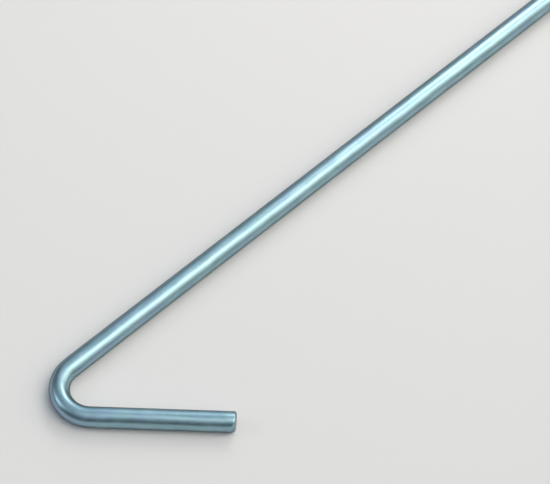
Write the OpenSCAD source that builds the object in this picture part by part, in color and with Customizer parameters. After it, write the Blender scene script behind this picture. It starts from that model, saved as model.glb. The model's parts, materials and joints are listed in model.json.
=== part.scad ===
// Ceiling hanger rod: one round wire with its lower end bent back into an open V hook.
// The rod lies flat on its side, shank along X, hook at the low end of X, leg towards -Y.

/* [Wire] */
// Diameter of the round wire
wire_d = 4; // [3:0.1:6]

/* [Shank] */
// Overall length along the shank, from the back of the bend to the middle of the plain end
overall_len = 250; // [125:5:500]

/* [Hook] */
// Angle left open between the hook's leg and the shank, in degrees
hook_angle = 45; // [30:1:75]
// Radius on the inside of the bend
bend_inside_r = 4.2; // [3:0.1:8]
// Length of the hook along its leg, from the back of the bend to the middle of the tip
hook_len = 35.4; // [25:0.1:60]
// Diameter that the wire loses where it is stretched round the bend
bend_thinning = 0.04; // [0.02:0.01:0.1]
// Length over which the straight wire tapers into the bend
bend_taper = 0.3; // [0.2:0.05:0.4]

/* [Cut ends] */
// Slant of the sheared end faces, in degrees
shear_slant = 3; // [0:1:10]
// Radius of the edge that the shear blade rolled over
rolled_edge_r = 1.5; // [0.6:0.1:1.8]
// Radius of the edge where the shear broke through
broken_edge_r = 0.7; // [0.3:0.1:0.9]
// Distance that these radii start outside the wire and its end, so that they meet both at a slight angle
edge_lap = 0.06; // [0.02:0.01:0.15]

/* [Hidden] */
$fn = 96;

zinc_colour = [0.60, 0.70, 0.74];

// Wire and bend, measured from the centre of the bend
wire_r = wire_d / 2;
bend_wire_r = (wire_d - bend_thinning) / 2;
bend_r = bend_inside_r + bend_wire_r;
bend_outside_r = bend_r + bend_wire_r;
bend_sweep = 180 - hook_angle;
shank_len = overall_len - bend_outside_r;
leg_len = hook_len - bend_outside_r;

// Sides of a cut on a wire along X: the blade rolls the -Y edge and breaks out at the +Y edge
ROLLED = -1;
BROKEN = 1;

// Way that a cut faces, and the centre of an edge radius, measured from the middle of the cut
cut_facing = [cos(shear_slant), -sin(shear_slant)];
function edge_centre(side, r) =
    let (inset = r - edge_lap, y = side * (wire_r - inset))
    [(y * sin(shear_slant) - inset) / cos(shear_slant), y];

// Furthest point of the plain end in X, where its slanted face meets the small radius
broken_angle = acos(1 - edge_lap / broken_edge_r) - shear_slant;
plain_end_x = shank_len + edge_centre(BROKEN, broken_edge_r).x + broken_edge_r * cos(broken_angle);

// Lowest point of the hook's tip in Y, on the rolled edge of the leg turned to the hook's angle
tip_centre = [leg_len, -bend_r] + edge_centre(ROLLED, rolled_edge_r);
tip_low_y = tip_centre.y * cos(hook_angle) - tip_centre.x * sin(hook_angle) - rolled_edge_r;

// Middle of the rod's box in plan
box_mid = [(plain_end_x - bend_outside_r) / 2, (bend_r + wire_r + tip_low_y) / 2];

// Corner that an edge of a cut loses to its radius
module edge_waste(side, r) {
    reach = 2 * r;
    translate(edge_centre(side, r)) difference() {
        polygon([[0, 0], [0, side * reach], [reach, side * reach], reach * cut_facing]);
        circle(r = r);
    }
}

// Plan of all that a shear cut takes away, measured from the middle of the cut
module shear_waste() {
    rotate(-shear_slant) translate([0, -wire_d]) square(2 * wire_d);
    edge_waste(ROLLED, rolled_edge_r);
    edge_waste(BROKEN, broken_edge_r);
}

// Straight wire along X that tapers into the bend behind the origin and is sheared off at len
module cut_wire(len) {
    difference() {
        rotate([0, 90, 0]) {
            translate([0, 0, -bend_taper])
                cylinder(r1 = wire_r - bend_thinning, r2 = wire_r, h = bend_taper);
            cylinder(r = wire_r, h = len + wire_r);
        }
        translate([len, 0, -wire_d]) linear_extrude(2 * wire_d) shear_waste();
    }
}

// Wire round the bend, from the end of the shank to the start of the leg
module bend() {
    rotate(90) rotate_extrude(angle = bend_sweep) translate([bend_r, 0]) circle(r = bend_wire_r);
}

module hanger_rod() {
    color(zinc_colour)
    translate([-box_mid.x, -box_mid.y, wire_r]) {
        translate([0, bend_r]) cut_wire(shank_len);
        bend();
        rotate(-hook_angle) translate([0, -bend_r]) cut_wire(leg_len);
    }
}

hanger_rod();
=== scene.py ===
# Ceiling hanger rod: a zinc-plated wire, sheared off at both ends and bent back into an open hook.
import json
import math

import bmesh
import bpy
from mathutils import Matrix, Vector


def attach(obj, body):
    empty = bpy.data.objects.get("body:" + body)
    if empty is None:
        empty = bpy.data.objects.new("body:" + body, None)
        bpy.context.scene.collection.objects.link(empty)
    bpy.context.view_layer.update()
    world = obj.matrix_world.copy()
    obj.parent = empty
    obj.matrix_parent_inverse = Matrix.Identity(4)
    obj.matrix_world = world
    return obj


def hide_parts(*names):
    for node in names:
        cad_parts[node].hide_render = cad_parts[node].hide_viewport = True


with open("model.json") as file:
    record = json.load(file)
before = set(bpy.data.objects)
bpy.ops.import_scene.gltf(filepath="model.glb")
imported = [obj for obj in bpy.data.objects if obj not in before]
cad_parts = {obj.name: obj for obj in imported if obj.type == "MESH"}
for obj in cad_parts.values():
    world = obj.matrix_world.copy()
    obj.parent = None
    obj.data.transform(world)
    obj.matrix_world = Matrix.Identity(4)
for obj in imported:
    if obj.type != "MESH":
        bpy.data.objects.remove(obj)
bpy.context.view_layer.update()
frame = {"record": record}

MM = 0.001
ROD_NODE = "hanger_rod"

# Driving dimensions of the rod, in metres
OVERALL_LEN = 250 * MM
HOOK_LEN = 35.4 * MM
BEND_INSIDE_R = 4.2 * MM
BEND_THINNING = 0.04 * MM
BEND_TAPER = 0.3 * MM

# Sheared ends: the blade rolls one edge over, breaks out at the other, and wear rounds the rim
SHEAR_SLANT = math.radians(3)
ROLLED_EDGE_R = 1.5 * MM
BROKEN_EDGE_R = 0.7 * MM
EDGE_LAP = 0.06 * MM
RIM_R = 0.45 * MM
RIM_SLACK = 0.01 * MM
CUT_ZONE = 2.5 * MM

# Fineness of the wire's mesh
WIRE_SIDES = 96
STRAIGHT_STEP = 2.5 * MM
BEND_STEPS = 48
RIM_STEPS = 8
FACE_STEPS = 9

# Names of what the finish reads from the wire's mesh
STRAIGHT_PLACE = "straight_place"
CUT_FACE = "cut_face"

# What the cut face says: 0 on the wire, and across a cut from its rolled edge over its middle to 1
CUT_ROLLED = 0.5
CUT_MIDDLE = 0.75

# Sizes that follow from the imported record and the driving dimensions
mounts = {mount["name"]: mount for mount in frame["record"]["mounts"]}
wire_r = mounts["shank"]["dims"]["r_mm"] * MM
shank_at = Vector(mounts["shank"]["pos_m"])
leg_at = Vector(mounts["hook_leg"]["pos_m"])
leg_way = Vector(mounts["hook_leg"]["axis"]).normalized()
bend_wire_r = wire_r - BEND_THINNING / 2
bend_r = BEND_INSIDE_R + bend_wire_r
bend_sweep = math.pi - math.acos(leg_way.x)
bend_len = bend_r * bend_sweep
shank_len = OVERALL_LEN - bend_r - bend_wire_r
leg_len = HOOK_LEN - bend_r - bend_wire_r
flat_r = wire_r - RIM_R


def bend_middle():
    """Centre of the bend, which lies one bend radius inside the axes of both the shank and the leg."""
    inward = Vector((-leg_way.y, leg_way.x, 0))
    y = shank_at.y - bend_r
    x = (leg_at.dot(inward) + bend_r - y * inward.y) / inward.x
    return Vector((x, y, shank_at.z))


def section_r(along):
    """Radius of the wire at a place along it: slightly thinner round the bend, with a short taper."""
    outside = max(along, -bend_len - along, 0)
    return bend_wire_r + (wire_r - bend_wire_r) * min(outside / BEND_TAPER, 1)


def evenly(start, end, steps):
    """Places from just past the start up to the end."""
    return [start + (end - start) * (step + 1) / steps for step in range(steps)]


def ring_places():
    """Places of the wire's rings from the leg's tip to the plain end, with 0 where shank and bend meet."""
    tip = -bend_len - leg_len
    leg_steps = math.ceil(leg_len / STRAIGHT_STEP)
    shank_steps = math.ceil(shank_len / STRAIGHT_STEP)
    places = [tip, tip + CUT_ZONE]
    places += evenly(tip + CUT_ZONE, -bend_len - BEND_TAPER, leg_steps)
    places += [-bend_len]
    places += evenly(-bend_len, 0, BEND_STEPS)
    places += [BEND_TAPER]
    places += evenly(BEND_TAPER, shank_len - CUT_ZONE, shank_steps)
    places += [shank_len]
    return places


def draw_wire(bm):
    """Straight wire along X, drawn out ring by ring. Gives the edges of its two open rims."""
    places = ring_places()
    across = Matrix.Translation((places[0], 0, 0)) @ Matrix.Rotation(math.pi / 2, 4, "Y")
    ring = bmesh.ops.create_circle(bm, segments=WIRE_SIDES, radius=section_r(places[0]), matrix=across)
    tip_rim = list({edge for vert in ring["verts"] for edge in vert.link_edges})
    rim = tip_rim
    for before, place in zip(places, places[1:]):
        grown = bmesh.ops.extrude_edge_only(bm, edges=rim)["geom"]
        verts = [item for item in grown if isinstance(item, bmesh.types.BMVert)]
        rim = [item for item in grown if isinstance(item, bmesh.types.BMEdge)]
        widen = section_r(place) / section_r(before)
        bmesh.ops.translate(bm, verts=verts, vec=(place - before, 0, 0))
        bmesh.ops.scale(bm, verts=verts, vec=(1, widen, widen))
    return tip_rim, rim


def round_drop(radius, past):
    """How far a rounded edge has fallen away at a distance past the start of its radius."""
    inside = min(max(past, 0), radius)
    return radius - math.sqrt(radius ** 2 - inside ** 2)


def edge_place(side, radius, offset):
    """Place along the wire of one of the cut's two edges, at an offset across the cut."""
    inset = radius - EDGE_LAP
    middle = side * (wire_r - inset)
    back = (middle * math.sin(SHEAR_SLANT) - inset) / math.cos(SHEAR_SLANT)
    return back + radius - round_drop(radius, side * (offset - middle))


def cut_place(offset):
    """Place along the wire of the slanted cut, at an offset across it, from the middle of the cut."""
    face = offset * math.tan(SHEAR_SLANT)
    rolled = edge_place(-1, ROLLED_EDGE_R, offset)
    broken = edge_place(1, BROKEN_EDGE_R, offset)
    return min(face, rolled, broken)


def inset_widths():
    """Widths between the rings of a cut face, which lie close together where its rim is worn round."""
    radii = [wire_r]
    radii += [flat_r + RIM_R * math.cos(turn) for turn in evenly(0, math.pi / 2, RIM_STEPS)]
    radii += evenly(flat_r, 0, FACE_STEPS)[:-1]
    return [outer - inner for outer, inner in zip(radii, radii[1:])]


def shear_end(bm, rim, facing, cut):
    """Closes an open rim with a sheared face. Facing is 1 at the plain end and -1 at the leg's tip."""
    end = rim[0].verts[0].co.x
    face = bmesh.ops.contextual_create(bm, geom=rim)["faces"][0]
    for width in inset_widths():
        bmesh.ops.inset_region(bm, faces=[face], thickness=width)
    bmesh.ops.poke(bm, faces=[face])
    for vert in bm.verts:
        if abs(vert.co.x - end) < CUT_ZONE / 2:
            offset = facing * vert.co.y
            past_flat = math.hypot(vert.co.y, vert.co.z) - flat_r
            if past_flat < RIM_SLACK:
                vert[cut] = CUT_MIDDLE + (1 - CUT_MIDDLE) * offset / flat_r
            vert.co.x += facing * (cut_place(offset) - round_drop(RIM_R, past_flat))


def bend_wire(bm):
    """Bends the straight wire round the bend's centre: the shank stays and the leg swings back beside it."""
    middle = bend_middle()
    for vert in bm.verts:
        turn = min(max(-vert.co.x / bend_r, 0), bend_sweep)
        flat = Vector((vert.co.x + turn * bend_r, vert.co.y + bend_r, vert.co.z))
        vert.co = middle + Matrix.Rotation(turn, 3, "Z") @ flat


def hanger_wire():
    """The rod as one closed mesh, which keeps each point's place on the straight wire for the finish."""
    bm = bmesh.new()
    straight = bm.verts.layers.float_vector.new(STRAIGHT_PLACE)
    cut = bm.verts.layers.float.new(CUT_FACE)
    tip_rim, plain_rim = draw_wire(bm)
    shear_end(bm, tip_rim, -1, cut)
    shear_end(bm, plain_rim, 1, cut)
    for vert in bm.verts:
        vert[straight] = vert.co
    bend_wire(bm)
    bmesh.ops.recalc_face_normals(bm, faces=bm.faces)
    for face in bm.faces:
        face.smooth = True
    return mesh_object("bent_wire", bm)


def mesh_object(name, bm):
    """Object at the origin that holds a finished mesh."""
    mesh = bpy.data.meshes.new(name)
    bm.to_mesh(mesh)
    bm.free()
    made = bpy.data.objects.new(name, mesh)
    bpy.context.scene.collection.objects.link(made)
    return made


class Shade:
    """A socket of a material's nodes. Arithmetic on it adds Math nodes, and node() adds any other."""

    def __init__(self, tree, socket=None):
        self.tree = tree
        self.socket = socket

    def node(self, kind, settings=None, inputs=None, output=None):
        """Adds a node: its settings first, then its sockets' values and links. Gives the output named."""
        made = self.tree.nodes.new("ShaderNode" + kind)
        for name, value in (settings or {}).items():
            setattr(made, name, value)
        sockets = {socket.identifier: socket for socket in made.inputs}
        for name, value in (inputs or {}).items():
            if isinstance(value, Shade):
                self.tree.links.new(value.socket, sockets[name])
            else:
                sockets[name].default_value = value
        outputs = {socket.identifier: socket for socket in made.outputs}
        return Shade(self.tree, outputs[output] if output else None)

    def math(self, operation, first, second):
        inputs = {"Value": first, "Value_001": second}
        return self.node("Math", {"operation": operation}, inputs, "Value")

    def __add__(self, other):
        return self.math("ADD", self, other)

    def __sub__(self, other):
        return self.math("SUBTRACT", self, other)

    def __rsub__(self, other):
        return self.math("SUBTRACT", other, self)

    def __mul__(self, other):
        return self.math("MULTIPLY", self, other)

    __radd__ = __add__
    __rmul__ = __mul__

    def at_least(self, least):
        return self.math("MAXIMUM", self, least)

    def power(self, exponent):
        return self.math("POWER", self, exponent)

    def axis(self, name):
        """One of the three numbers of this place."""
        return self.node("SeparateXYZ", None, {"Vector": self}, name)

    def stretched(self, factors):
        """This place with each of its axes multiplied."""
        inputs = {"Vector": self, "Vector_001": factors}
        return self.node("VectorMath", {"operation": "MULTIPLY"}, inputs, "Vector")

    def along(self, way):
        """How far this direction points along another, from -1 to 1."""
        inputs = {"Vector": self, "Vector_001": way}
        return self.node("VectorMath", {"operation": "DOT_PRODUCT"}, inputs, "Value")

    def noise(self, grain, detail):
        """Noise from 0 to 1 at this place, with patches about as wide as the grain."""
        inputs = {"Vector": self, "Scale": 1 / grain, "Detail": detail}
        return self.node("TexNoise", None, inputs, "Fac")

    def between(self, low, high):
        """0 below low, 1 above high and a smooth step between them."""
        inputs = {"Value": self, "From Min": low, "From Max": high}
        return self.node("MapRange", {"interpolation_type": "SMOOTHSTEP"}, inputs, "Result")

    def tint(self, under, over):
        """Colour that goes from one to another as this value goes from 0 to 1."""
        inputs = {"Factor_Float": self, "A_Color": under, "B_Color": over}
        return self.node("Mix", {"data_type": "RGBA"}, inputs, "Result_Color")


def new_material(name):
    """Material with no nodes yet, and the shade that adds them."""
    made = bpy.data.materials.new(name)
    made.use_nodes = True
    made.node_tree.nodes.clear()
    return made, Shade(made.node_tree)


# Linear colours of the zinc on the wire and on its cuts, and a dark brownish tint where it turns away from
# view, which is painted shade and a painted brown reflection on every rim
ZINC_DULL = (0.26, 0.42, 0.475, 1)
ZINC_BRIGHT = (0.335, 0.51, 0.57, 1)
ZINC_VIOLET = (0.29, 0.42, 0.55, 1)
ZINC_RUBBED = (0.46, 0.57, 0.60, 1)
CUT_SMOOTH = (0.30, 0.40, 0.44, 1)
CUT_BROKEN = (0.17, 0.22, 0.25, 1)
RIM_PAINTED_SHADE = (0.32, 0.16, 0.1, 1)

# Widths of the marks on the wire, and how each is drawn out along it
DRAW_LINE = 0.12 * MM
DRAW_STREAK = 0.6 * MM
DRAWN_OUT = (0.03, 1, 1)
ZINC_CLOUD = 1.4 * MM
HUE_PATCH = 2.6 * MM
WIRE_WAVE = 3.2 * MM
CLOUDED_OUT = (0.4, 1, 1)
SCRATCH = 0.16 * MM
SCRATCHED_OUT = (0.08, 0.5, 1)
SHEAR_LINE = 0.15 * MM
SHEARED_OUT = (1, 0.06, 1)
ZINC_GRAIN = 0.3 * MM
BEND_EASE = 2 * MM

# Depths of the marks
DRAW_DEPTH = 0.003 * MM
GRAIN_DEPTH = 0.003 * MM
CLOUD_DEPTH = 0.02 * MM
WAVE_DEPTH = 0.1 * MM
SHEAR_DEPTH = 0.02 * MM
BREAK_DEPTH = 0.1 * MM

# Levels between which a mark fades in, the shares of what makes up the colour, and how matte a cut is
BRIGHT_FADE = (0.4, 0.6)
VIOLET_FADE = (0.45, 0.75)
SCRATCH_FADE = (0.68, 0.76)
BREAK_FADE = (CUT_MIDDLE - 0.08, CUT_MIDDLE + 0.08)
CLOUD_SHARE = 0.5
STREAK_SHARE = 0.3
GRAIN_SHARE = 0.2
PATCH_VIOLET = 0.8
STRAIN_VIOLET = 0.4
SCRATCH_RUBBED = 0.6
CUT_MATTE = 0.6

# Roughness of smooth zinc, and what each mark adds to it
SATIN = 0.22
CLOUD_ROUGH = 0.12
GRAIN_ROUGH = 0.06
STREAK_ROUGH = 0.06
SCRATCH_ROUGH = 0.06
PRESSED_ROUGH = -0.06
CUT_ROUGH = 0.06
BREAK_ROUGH = 0.16


def zinc_plating():
    """Zinc plating on drawn wire: cloudy, streaked along the wire, and more matte on the sheared faces."""
    made, shade = new_material("zinc_plating")
    place = shade.node("Attribute", {"attribute_name": STRAIGHT_PLACE}, None, "Vector")
    cut = shade.node("Attribute", {"attribute_name": CUT_FACE}, None, "Fac")
    drawn = place.stretched(DRAWN_OUT)
    clouded = place.stretched(CLOUDED_OUT)
    lines = drawn.noise(DRAW_LINE, detail=2)
    streaks = drawn.noise(DRAW_STREAK, detail=3)
    clouds = clouded.noise(ZINC_CLOUD, detail=3)
    hue = clouded.noise(HUE_PATCH, detail=2)
    waves = clouded.noise(WIRE_WAVE, detail=0)
    grain = place.noise(ZINC_GRAIN, detail=2)
    scratched = place.stretched(SCRATCHED_OUT).noise(SCRATCH, detail=1).between(*SCRATCH_FADE)
    sheared = place.stretched(SHEARED_OUT).noise(SHEAR_LINE, detail=2)

    onward = place.axis("X")
    outward = place.axis("Y")
    bent = onward.between(-bend_len - BEND_EASE, -bend_len) * (1 - onward.between(0, BEND_EASE))
    strained = bent * outward.between(0, wire_r)
    pressed = bent * outward.between(0, -wire_r)
    on_cut = cut.between(0, CUT_ROLLED)
    broken = cut.between(*BREAK_FADE)

    bright = (CLOUD_SHARE * clouds + STREAK_SHARE * streaks + GRAIN_SHARE * grain).between(*BRIGHT_FADE)
    violet = PATCH_VIOLET * hue.between(*VIOLET_FADE) + STRAIN_VIOLET * strained
    zinc = violet.tint(bright.tint(ZINC_DULL, ZINC_BRIGHT), ZINC_VIOLET)
    worn_zinc = (SCRATCH_RUBBED * scratched).tint(zinc, ZINC_RUBBED)
    colour = on_cut.tint(worn_zinc, broken.tint(CUT_SMOOTH, CUT_BROKEN))
    roughness = (SATIN + CLOUD_ROUGH * clouds + GRAIN_ROUGH * grain + STREAK_ROUGH * streaks
                 + PRESSED_ROUGH * pressed + SCRATCH_ROUGH * scratched
                 + on_cut * (CUT_ROUGH + BREAK_ROUGH * broken))
    height = (DRAW_DEPTH * (lines + streaks) + GRAIN_DEPTH * grain
              + CLOUD_DEPTH * clouds + WAVE_DEPTH * waves
              + SHEAR_DEPTH * (on_cut * sheared) + BREAK_DEPTH * (broken * grain))
    bump = shade.node("Bump", None, {"Strength": 1, "Distance": 1, "Height": height}, "Normal")
    # The specular tint darkens and browns the rims: painted shade and a painted brown reflection, not a
    # colour of the zinc
    metal = shade.node("BsdfPrincipled", None, {
        "Base Color": colour, "Metallic": 1 - CUT_MATTE * on_cut, "Roughness": roughness,
        "Specular Tint": RIM_PAINTED_SHADE, "Normal": bump}, "BSDF")
    shade.node("OutputMaterial", None, {"Surface": metal})
    return made


# Camera, looking at a point on the floor
CAMERA_AZIMUTH = math.radians(-42.746)
CAMERA_ELEVATION = math.radians(57)
CAMERA_DISTANCE = 656.5 * MM
CAMERA_TARGET = Vector((-68.7 * MM, 9.9 * MM, 0))
CAMERA_LENS = 222.5

right = Vector((math.cos(CAMERA_AZIMUTH), math.sin(CAMERA_AZIMUTH), 0))
away = Vector((-math.sin(CAMERA_AZIMUTH), math.cos(CAMERA_AZIMUTH), 0))
up = Vector((0, 0, 1))


def toward(bearing, elevation):
    """Unit vector at a bearing, counted from the picture's right towards its far side, and an elevation."""
    level = math.cos(bearing) * right + math.sin(bearing) * away
    return math.cos(elevation) * level + math.sin(elevation) * up


def place_facing(made, spot, target):
    """Puts a camera or lamp at a spot, turned to look at a target."""
    bpy.context.scene.collection.objects.link(made)
    made.location = spot
    made.rotation_euler = (target - spot).to_track_quat("-Z", "Y").to_euler()


def picture_camera():
    """Camera on the near side of its target."""
    camera = bpy.data.cameras.new("camera")
    camera.lens = CAMERA_LENS
    made = bpy.data.objects.new("camera", camera)
    near_side = toward(-math.pi / 2, CAMERA_ELEVATION)
    place_facing(made, CAMERA_TARGET + CAMERA_DISTANCE * near_side, CAMERA_TARGET)
    bpy.context.scene.camera = made


# Softbox near the far part of the shank, measured from the camera's target. A glow of 1 is white.
SOFTBOX_SIDE = 100 * MM
SOFTBOX_GLOW = 3.8
SOFTBOX_RIGHT = 75 * MM
SOFTBOX_AWAY = 170 * MM
SOFTBOX_UP = 190 * MM
SOFTBOX_AIM = Vector((-22 * MM, 14 * MM, 0))

# Light of the tent: the same all round, and slightly warmer from the right than from elsewhere
EVEN_LIGHT = 0.05
WARM_LIGHT = (1.08, 1, 0.9, 1)
COOL_LIGHT = (0.9, 1, 1.1, 1)


def softbox():
    """Square lamp, which the camera doesn't see."""
    lamp = bpy.data.lights.new("softbox", "AREA")
    lamp.size = SOFTBOX_SIDE
    lamp.color = WARM_LIGHT[:3]
    lamp.energy = SOFTBOX_GLOW * math.pi * SOFTBOX_SIDE ** 2
    made = bpy.data.objects.new("softbox", lamp)
    made.visible_camera = False
    spot = CAMERA_TARGET + SOFTBOX_RIGHT * right + SOFTBOX_AWAY * away + SOFTBOX_UP * up
    place_facing(made, spot, SOFTBOX_AIM)


def glow(way, bearing, elevation, sharpness, brightness):
    """Soft glow of the tent round a direction, with its angles in degrees. A brightness of 1 is white."""
    middle = toward(math.radians(bearing), math.radians(elevation))
    return brightness * way.along(middle).at_least(0).power(sharpness)


def light_tent():
    """Surroundings that light the rod softly from the right, the far side, the left and above."""
    world = bpy.data.worlds.new("light_tent")
    world.use_nodes = True
    world.node_tree.nodes.clear()
    shade = Shade(world.node_tree)
    way = shade.node("TexCoord", None, None, "Generated")
    upper_right = glow(way, bearing=-17, elevation=63, sharpness=20, brightness=3.2)
    right_side = glow(way, bearing=18, elevation=36, sharpness=16, brightness=2)
    lower_right = glow(way, bearing=-5, elevation=10, sharpness=8, brightness=0.5)
    front_right = glow(way, bearing=-38, elevation=38, sharpness=12, brightness=0.8)
    far_side = glow(way, bearing=80, elevation=36, sharpness=8, brightness=1.15)
    left_side = glow(way, bearing=176, elevation=36, sharpness=90, brightness=4.6)
    overhead = glow(way, bearing=-98, elevation=80, sharpness=5, brightness=0.7)
    warm = upper_right + right_side + lower_right + front_right
    cool = EVEN_LIGHT + far_side + left_side + overhead
    warm_tent = shade.node("Background", None, {"Color": WARM_LIGHT, "Strength": warm}, "Background")
    cool_tent = shade.node("Background", None, {"Color": COOL_LIGHT, "Strength": cool}, "Background")
    tent = shade.node("AddShader", None, {"Shader": warm_tent, "Shader_001": cool_tent}, "Shader")
    shade.node("OutputWorld", None, {"Surface": tent})
    bpy.context.scene.world = world


# Pale floor with a low wall far round it
FLOOR_R = 3.0
WALL_HEIGHT = 0.5
FLOOR_SIDES = 96
FLOOR_COLOUR = (0.72, 0.72, 0.72, 1)


def pale_floor():
    """Round floor under the rod, whose rim stands up as the wall."""
    bm = bmesh.new()
    ring = bmesh.ops.create_circle(bm, cap_ends=True, segments=FLOOR_SIDES, radius=FLOOR_R)
    rim = list({edge for vert in ring["verts"] for edge in vert.link_edges})
    grown = bmesh.ops.extrude_edge_only(bm, edges=rim)["geom"]
    verts = [item for item in grown if isinstance(item, bmesh.types.BMVert)]
    bmesh.ops.translate(bm, verts=verts, vec=(0, 0, WALL_HEIGHT))
    floor = mesh_object("floor", bm)
    made, shade = new_material("pale_floor")
    paint = shade.node("BsdfDiffuse", None, {"Color": FLOOR_COLOUR}, "BSDF")
    shade.node("OutputMaterial", None, {"Surface": paint})
    floor.data.materials.append(made)


picture_camera()
softbox()
light_tent()
pale_floor()
bpy.context.scene.view_settings.view_transform = "Standard"

rod = hanger_wire()
rod.data.materials.append(zinc_plating())
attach(rod, "root")
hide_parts(ROD_NODE)
